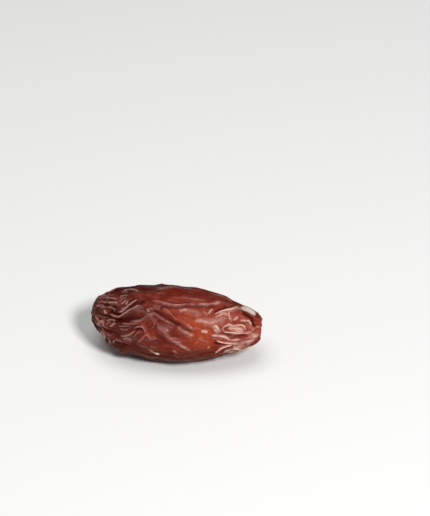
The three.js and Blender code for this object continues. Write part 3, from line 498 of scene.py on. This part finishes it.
def noise(p, seed):
    """Gradient noise: at each lattice corner a slope, blended by a quintic between corners."""
    base = np.floor(p)
    f = p - base
    w = f * f * f * (f * (f * 6 - 15) + 10)
    total = np.zeros(p.shape[:-1])
    for dx in (0, 1):
        for dy in (0, 1):
            for dz in (0, 1):
                cx, cy, cz = base[..., 0] + dx, base[..., 1] + dy, base[..., 2] + dz
                slope = (
                    lattice(cx, cy, cz, seed) * (f[..., 0] - dx)
                    + lattice(cx, cy, cz, seed + 1) * (f[..., 1] - dy)
                    + lattice(cx, cy, cz, seed + 2) * (f[..., 2] - dz)
                )
                share_x, share_y = np.abs(1 - dx - w[..., 0]), np.abs(1 - dy - w[..., 1])
                total += share_x * share_y * np.abs(1 - dz - w[..., 2]) * slope
    return total


def round_noise(x, turn, run, rounds, seed):
    """Noise on the skin with cells run mm long, and rounds of them per radian."""
    return noise(np.stack([x / run, rounds * np.cos(turn), rounds * np.sin(turn)], -1), seed)


def wandering(x, turn, run, rounds, seed):
    """Noise whose cells bend from side to side along the date."""
    bent = turn + BEND_ROUND * round_noise(x, turn, 9, 1.3, seed + 7)
    shifted = x + BEND_ALONG * round_noise(x, turn, 7, 2.1, seed + 11)
    return round_noise(shifted, bent, run, rounds, seed)


def crest(n, width):
    """1 where n is 0, falling off on both sides: lines of fold where the noise changes sign."""
    return 1 / (1 + (n / width) ** 2)


def ends(r, x):
    """The hollow scar of the stalk with its rim at the stem end, and a small nib in a dimple at the tip."""
    scar = SCAR_RIM_HEIGHT * bell(r, SCAR_RIM_RADIUS, SCAR_RIM_WIDTH) - SCAR_DEPTH * bell(r, 0, SCAR_RADIUS)
    dimple = NIB_DIMPLE_DEPTH * bell(r, NIB_DIMPLE_RADIUS, NIB_DIMPLE_WIDTH)
    nib = NIB_HEIGHT * bell(r, 0, NIB_RADIUS) - dimple
    return np.where(x > 0, scar, nib)


def relief(x, turn):
    """Height of the skin over the body in mm, and five marks of it from 0 to 1.

    The face has its drawn folds and soft panels between them. The far side and the tip have folds that
    wander along the fruit, the tip has fine puckers too, and both sides have broad lumps. The height is the
    sum of these less the creases, and all but the drawn lines is lower near the floor.

    The marks are how much the skin is raised in a fold, lowered in a crease, rubbed smooth, on the rim of
    the face, and belly. The material paints shade into the colour of the creases, the rim and the belly, and
    pale highlights onto the raised folds.
    """
    shape = x.shape
    x, turn = x.ravel(), turn.ravel()
    places = body(x, turn)
    r = thickness(x)
    drawn, raised = np.zeros(len(x)), np.zeros(len(x))
    for height, width, points in RIDGES:
        fold = line_height(places, points, width)
        drawn = np.maximum(drawn, height * fold)
        raised = np.maximum(raised, min(height / FULL_FOLD, 1) * min(FULL_FOLD / width, 1) * fold)
    sunk = highest(places, CREASES)
    facing = np.cos(turn - FACE_TURN)
    hidden = 1 - rise(facing, -0.25, 0.25)
    wild = np.clip(hidden + 0.5 * rise(-x, 15, 21), 0, 1)
    near_ends = rise(r, 0, THIN_END)
    resting = LOW_SHARE + (1 - LOW_SHARE) * rise(places[:, 2], 0.5, 4.5)
    lumps = LUMP_HEIGHT * wandering(x, turn, *LUMPS)
    short_noise = wandering(x, turn, *SHORT_FOLDS)
    long_folds = LONG_FOLD_HEIGHT * crest(wandering(x, turn, *LONG_FOLDS), FOLD_CREST)
    short_folds = SHORT_FOLD_HEIGHT * crest(short_noise, FOLD_CREST)
    folds = wild * (long_folds + short_folds)
    gaps = wild * FAR_CREASE_DEPTH * crest(short_noise + FAR_CREASE_SHIFT, CREASE_CREST)
    puckered = crest(wandering(x, turn, *PUCKERS), PUCKER_CREST) - PUCKER_SINK
    puckers = PUCKER_HEIGHT * rise(-x, 9, 17) * puckered
    panels = (1 - wild) * (PANEL_HEIGHT * short_noise + DIMPLE_HEIGHT * wandering(x, turn, *DIMPLES))
    undrawn = lumps + folds - gaps - FAR_SIDE_SINK * wild + puckers + panels
    height = near_ends * (resting * undrawn + drawn - sunk) + ends(r, x)
    raised = near_ends * np.maximum(raised, resting * (folds + 1.5 * puckers))
    belly = rise(np.cos(turn - BELLY_TURN), 0.05, 0.7) * rise(r, 6, 10)
    dull = np.maximum(BELLY_DULLNESS * belly, TIP_DULLNESS * rise(-x, 8, 18))
    marks = {
        "raised": raised,
        # The creases' depth, which the material paints darker as shade
        "lowered": near_ends * np.maximum(np.minimum(sunk, DARKEST_DEPTH), resting * gaps),
        "rubbed": (1 - dull) * np.maximum(raised, rise(lumps + panels - sunk, -0.05, 0.3)),
        # Painted shade: a band round the rim of the face, darkened in the colour
        "rim_shade": rise(facing, -0.9, -0.2) * (1 - rise(facing, 0.3, 0.95)),
        "belly": belly,
    }
    return height.reshape(shape), {name: np.clip(values, 0, 1) for name, values in marks.items()}


def skin_mesh(low, high):
    """The closed skin between two corners: body plus relief along the body's own normal, flat on the floor.

    The steps round it are shorter on the face: a turn t becomes t - FACE_FOCUS sin(t - FACE_TURN).
    Returns points, quads, triangles, and the relief's marks for each point.
    """
    stations = even_stations(RINGS + 2)[1:-1]
    turns = np.arange(AROUND) * 2 * np.pi / AROUND
    turns = turns - FACE_FOCUS * np.sin(turns - FACE_TURN)
    x, turn = np.meshgrid(stations, turns, indexing="ij")
    small = 1e-3
    along = body(x + small, turn) - body(x - small, turn)
    round_it = body(x, turn + small) - body(x, turn - small)
    normal = np.cross(round_it, along)
    normal /= np.linalg.norm(normal, axis=-1, keepdims=True)
    height, marks = relief(x, turn)
    points = body(x, turn) + normal * height[..., None]
    pole_x = np.array([-LENGTH / 2, LENGTH / 2])
    poles = body(pole_x, np.zeros(2))
    poles[:, 0] += np.sign(pole_x) * ends(np.zeros(2), pole_x)
    points = np.vstack([points.reshape(-1, 3), poles])
    points[:, 2] = np.maximum(points[:, 2], 0)
    spread = (points - points.min(0)) / np.ptp(points, axis=0)
    points = low + spread * (high - low)
    ring = np.arange(RINGS * AROUND).reshape(RINGS, AROUND)
    following = np.roll(ring, -1, axis=1)
    quads = np.stack([ring[:-1], following[:-1], following[1:], ring[1:]], -1).reshape(-1, 4)
    tip_pole = np.full(AROUND, RINGS * AROUND)
    tip_fan = np.stack([following[0], ring[0], tip_pole], -1)
    stem_fan = np.stack([ring[-1], following[-1], tip_pole + 1], -1)
    marks = {name: np.append(values, [0, 0]) for name, values in marks.items()}
    return points, quads, np.vstack([tip_fan, stem_fan]), marks


def ragged(places, reach, cell):
    """The places, each moved aside by noise with cells of that size: what is laid there gets rough edges."""
    return places + reach * np.stack([noise(places / cell, seed) for seed in (71, 75, 79)], -1)


def patches(places, spots):
    """Soft patches on the face, 1 in the middle of each (along, up, radius) spot."""
    total = np.zeros(len(places))
    for along, up, radius in spots:
        middle = on_face([(along, up)])[0]
        total += np.exp(-np.sum((places - middle) ** 2, axis=1) / radius**2)
    return np.clip(total, 0, 1)


def make_piece(name, points, faces):
    """A smooth-shaded object at the origin, from points in metres."""
    mesh = bpy.data.meshes.new(name)
    mesh.from_pydata(points.tolist(), [], faces)
    mesh.polygons.foreach_set("use_smooth", np.ones(len(mesh.polygons), bool))
    mesh.update()
    piece = bpy.data.objects.new(name, mesh)
    bpy.context.scene.collection.objects.link(piece)
    return piece


def mark(piece, name, values):
    """Gives each point of the piece a number that its material reads."""
    attribute = piece.data.attributes.new(name, "FLOAT", "POINT")
    attribute.data.foreach_set("value", values.astype(np.float32))


def linear(code):
    """An sRGB hex colour as linear RGBA."""
    parts = [int(code[i : i + 2], 16) / 255 for i in (1, 3, 5)]
    return (*[c / 12.92 if c <= 0.04045 else ((c + 0.055) / 1.055) ** 2.4 for c in parts], 1)


def add(tree, kind, inputs=None, **settings):
    """Adds a node: inputs are values or other nodes' outputs, and settings are its own properties."""
    node = tree.nodes.new(kind)
    for name, value in settings.items():
        setattr(node, name, value)
    for socket, value in (inputs or {}).items():
        if isinstance(value, bpy.types.NodeSocket):
            tree.links.new(value, node.inputs[socket])
        else:
            node.inputs[socket].default_value = value
    return node


def new_material(name):
    """A material that is still plain, with its tree of nodes and its shader."""
    material = bpy.data.materials.new(name)
    material.use_nodes = True
    tree = material.node_tree
    return material, tree, tree.nodes["Principled BSDF"]


# The two inputs and the output of a colour Mix node, by place in its list of sockets
COLOUR_A, COLOUR_B, COLOUR_OUT = 6, 7, 2


def waxy_date_skin():
    """Skin of a soft dried date: a thin waxy film over dark, sugary, half see-through flesh.

    The film gives a wet gloss with crisp lights along the folds. The flesh is dull maroon at the tip, where
    it has dried.
    Light and shade are painted into the colour too: orange light shining through where the flesh is thin,
    dark red shade in the creases, at the rim of the face and on the belly, a mottled rose sheen, pale
    highlights on the crests of the folds, and grey-white glints. Towards the stem the film has lifted off
    the flesh, and it is pale pink there, most of all on the folds, partly as painted highlights.
    """
    material, tree, shader = new_material("waxy_date_skin")
    place = add(tree, "ShaderNodeTexCoord").outputs["Object"]
    # Streaks run along the fruit, five times as long as they are wide
    drawn_out = add(tree, "ShaderNodeMapping", {"Vector": place, "Scale": (0.2, 1, 1)}).outputs["Vector"]
    # Each pattern's place, the size of its cells in mm, detail, roughness and distortion
    patterns = {
        "blotch": (place, 6.25, 3, 0.5, 0),
        "bloom_and_sheen": (place, 3.0303, 4, 0.6, 0),
        "bits": (place, 2.381, 2, 0.5, 0),
        "streak": (drawn_out, 0.7143, 4, 0.6, 0.8),
        "grain": (place, 0.625, 3, 0.6, 0),
    }
    masks = {}
    for name, (where, size, detail, roughness, distortion) in patterns.items():
        inputs = {"Vector": where, "Scale": 1 / (size * MM), "Detail": detail}
        inputs |= {"Roughness": roughness, "Distortion": distortion}
        masks[name] = add(tree, "ShaderNodeTexNoise", inputs).outputs["Fac"]
    for name in ("tip", "stem", "belly", "rim_shade", "painted_glow", "loose_skin_and_highlight", "painted_glint", "raised", "lowered", "rubbed"):
        masks[name] = add(tree, "ShaderNodeAttribute", attribute_name=name).outputs["Fac"]
    # In bits the film hangs looser
    inputs = {"Value": masks["bits"], "From Min": 0.35, "From Max": 0.6, "To Min": 0.55, "To Max": 1.0}
    masks["looser"] = add(tree, "ShaderNodeMapRange", inputs).outputs["Result"]
    # The folds of the tip and of the stem end, and those of the stem end where the film hangs slack, painted
    # pale as highlights
    pairs = {
        "tip fold": ("raised", "tip"),
        "stem fold": ("raised", "stem"),
        "pale_stem_fold_and_highlight": ("stem fold", "looser"),
    }
    for name, (one, other) in pairs.items():
        inputs = {0: masks[one], 1: masks[other]}
        masks[name] = add(tree, "ShaderNodeMath", inputs, operation="MULTIPLY").outputs["Value"]
    # Each layer's mask, where it begins and is full, how much it covers, and its colour
    layers = [
        ("blotch", 0.35, 0.65, 1.0, RED_BROWN),
        ("stem", 0.0, 1.0, 0.8, ROSE_BROWN),
        ("tip", 0.0, 1.0, 0.9, MAROON),
        # Mottled waxy bloom, partly a painted sheen on the panels
        ("bloom_and_sheen", 0.42, 0.72, 0.38, ROSE_BLOOM_SHEEN),
        # Painted shade at the rim of the face
        ("rim_shade", 0.0, 1.0, 0.65, RIM_SHADE_RED),
        # Painted shade on the belly
        ("belly", 0.0, 1.0, 0.7, BELLY_SHADE_BROWN),
        # Painted glow where the flesh is thin
        ("painted_glow", 0.05, 1.0, 0.6, GLOW_AMBER),
        ("streak", 0.48, 0.70, 0.35, ROSE_BLOOM_SHEEN),
        ("streak", 0.50, 0.30, 0.50, CREASE_SHADE_AND_STREAK_DARK),
        # Painted shade in the creases
        ("lowered", 0.04, 0.42, 0.88, CREASE_SHADE_AND_STREAK_DARK),
        # Pale lifted skin, partly painted highlights
        ("loose_skin_and_highlight", 0.1, 1.0, 0.5, LOOSE_SKIN_AND_HIGHLIGHT),
        # Painted highlight on the crests of folds, with paler wax there
        ("raised", 0.35, 1.0, 0.5, ROSE_FOLD_HIGHLIGHT),
        # Dusty tip folds, partly painted highlights
        ("tip fold", 0.30, 1.0, 0.7, DUSTY_MAUVE_HIGHLIGHT),
        # Stem folds where the film hangs slack, painted pale as highlights
        ("pale_stem_fold_and_highlight", 0.20, 0.95, 0.85, LOOSE_SKIN_AND_HIGHLIGHT),
        # Painted glints
        ("painted_glint", 0.25, 0.7, 0.8, GLINT_WHITE),
    ]
    flesh = linear(DEEP_RED)
    for name, begin, full, most, colour in layers:
        inputs = {"Value": masks[name], "From Min": begin, "From Max": full, "To Max": most}
        share = add(tree, "ShaderNodeMapRange", inputs, interpolation_type="SMOOTHSTEP").outputs["Result"]
        inputs = {"Factor": share, COLOUR_A: flesh, COLOUR_B: linear(colour)}
        flesh = add(tree, "ShaderNodeMix", inputs, data_type="RGBA").outputs[COLOUR_OUT]
    tree.links.new(flesh, shader.inputs["Base Color"])
    # The grain varies the gloss of the flesh
    inputs = {"Value": masks["grain"], "From Min": 0.3, "From Max": 0.7, "To Min": 0.26, "To Max": 0.42}
    gloss = add(tree, "ShaderNodeMapRange", inputs)
    tree.links.new(gloss.outputs["Result"], shader.inputs["Roughness"])
    # The high places are rubbed to a gloss, and the hollows stay dull
    film = add(tree, "ShaderNodeMapRange", {"Value": masks["rubbed"], "To Min": 0.02, "To Max": 0.6})
    tree.links.new(film.outputs["Result"], shader.inputs["Coat Weight"])
    # The streaks stand up a little, and the grain less
    wavy = add(tree, "ShaderNodeBump", {"Height": masks["streak"], "Strength": 0.5, "Distance": 0.4 * MM})
    inputs = {"Height": masks["grain"], "Strength": 0.12, "Distance": 0.2 * MM}
    inputs["Normal"] = wavy.outputs["Normal"]
    bump = add(tree, "ShaderNodeBump", inputs)
    tree.links.new(bump.outputs["Normal"], shader.inputs["Normal"])
    shader.inputs["IOR"].default_value = 1.45
    shader.inputs["Specular IOR Level"].default_value = 0.03
    shader.inputs["Subsurface Weight"].default_value = 0.1
    shader.inputs["Subsurface Radius"].default_value = (1.0, 0.28, 0.1)
    shader.inputs["Subsurface Scale"].default_value = 1.0 * MM
    shader.inputs["Coat Roughness"].default_value = 0.32
    shader.inputs["Coat IOR"].default_value = 1.45
    return material


def pale_paper():
    """Matt white paper of the floor."""
    material, tree, shader = new_material("pale_paper")
    shader.inputs["Base Color"].default_value = linear(PAPER_WHITE)
    shader.inputs["Roughness"].default_value = 0.9
    return material


def soft_box(name, place, size, power):
    """A square lamp of the studio, in metres and watts, turned to the date."""
    lamp = bpy.data.lights.new(name, "AREA")
    lamp.size = size
    lamp.energy = power
    stand = bpy.data.objects.new(name, lamp)
    stand.location = place
    stand.rotation_mode = "QUATERNION"
    stand.rotation_quaternion = (Vector(LAMP_AIM) - Vector(place)).to_track_quat("-Z", "Y")
    bpy.context.scene.collection.objects.link(stand)


def photograph_camera():
    """The camera at the photograph's angle, aimed so that the date is where the photograph has it."""
    back, right, up = (Vector(v) for v in looking_from(AZIMUTH, ELEVATION))
    pixel = MM_PER_PIXEL * MM
    aside = right * (DATE_X - FRAME_WIDTH / 2) * pixel
    above = up * (DATE_Y - FRAME_HEIGHT / 2) * pixel
    data = bpy.data.cameras.new("camera")
    data.sensor_width = SENSOR_WIDTH
    data.lens = SENSOR_WIDTH * CAMERA_DISTANCE / (FRAME_HEIGHT * pixel)
    data.clip_start = 0.01
    data.clip_end = 10
    camera = bpy.data.objects.new("camera", data)
    camera.location = Vector(DATE_MIDDLE) - aside + above + back * CAMERA_DISTANCE
    camera.rotation_mode = "QUATERNION"
    camera.rotation_quaternion = (-back).to_track_quat("-Z", "Y")
    bpy.context.scene.collection.objects.link(camera)
    return camera


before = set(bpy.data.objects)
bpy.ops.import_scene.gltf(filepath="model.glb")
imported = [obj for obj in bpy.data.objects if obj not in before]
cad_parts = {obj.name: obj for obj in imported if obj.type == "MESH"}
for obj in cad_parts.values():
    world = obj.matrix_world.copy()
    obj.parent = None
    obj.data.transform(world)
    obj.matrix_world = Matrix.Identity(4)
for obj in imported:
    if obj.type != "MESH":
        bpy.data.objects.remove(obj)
cad_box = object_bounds()

low, high = (np.array(corner) for corner in cad_box)
points, quads, fans, marks = skin_mesh(low, high)
date = make_piece("date_skin", points, [*map(tuple, quads.tolist()), *map(tuple, fans.tolist())])
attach(date, "root")
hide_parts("date")
places = points / MM
blotched = ragged(places, *PATCH_EDGE)
# Pale lifted skin and painted highlights, along lines and in patches
loose_and_highlight_lines = highest(ragged(places, *LINE_EDGE), LOOSE_AND_HIGHLIGHT_LINES)
# Painted glow where the flesh is thin
marks["painted_glow"] = patches(blotched, GLOW_SPOTS)
marks["loose_skin_and_highlight"] = np.maximum(patches(blotched, LOOSE_AND_HIGHLIGHT_SPOTS), loose_and_highlight_lines)
# Painted grey-white glints
marks["painted_glint"] = highest(ragged(places, *GLINT_EDGE), PAINTED_GLINTS)
marks["tip"] = rise(-places[:, 0], -2, 16)
marks["stem"] = rise(places[:, 0], -4, 12)
for name, values in marks.items():
    mark(date, name, values)
date.data.materials.append(waxy_date_skin())

sheet = FLOOR_HALF * np.array([(-1, -1, 0), (1, -1, 0), (1, 1, 0), (-1, 1, 0)])
floor = make_piece("floor", sheet, [(0, 1, 2, 3)])
floor.data.materials.append(pale_paper())

world = bpy.data.worlds.new("studio")
world.use_nodes = True
sky = world.node_tree.nodes["Background"]
sky.inputs["Color"].default_value = linear(PAPER_WHITE)
sky.inputs["Strength"].default_value = STUDIO_GLOW
bpy.context.scene.world = world
bpy.context.scene.view_settings.view_transform = "Standard"

soft_box("key box", (0.45, -0.60, 0.80), size=0.20, power=9.1)
soft_box("overhead box", (-0.10, -0.10, 1.10), size=0.75, power=4.9)
bpy.context.scene.camera = photograph_camera()
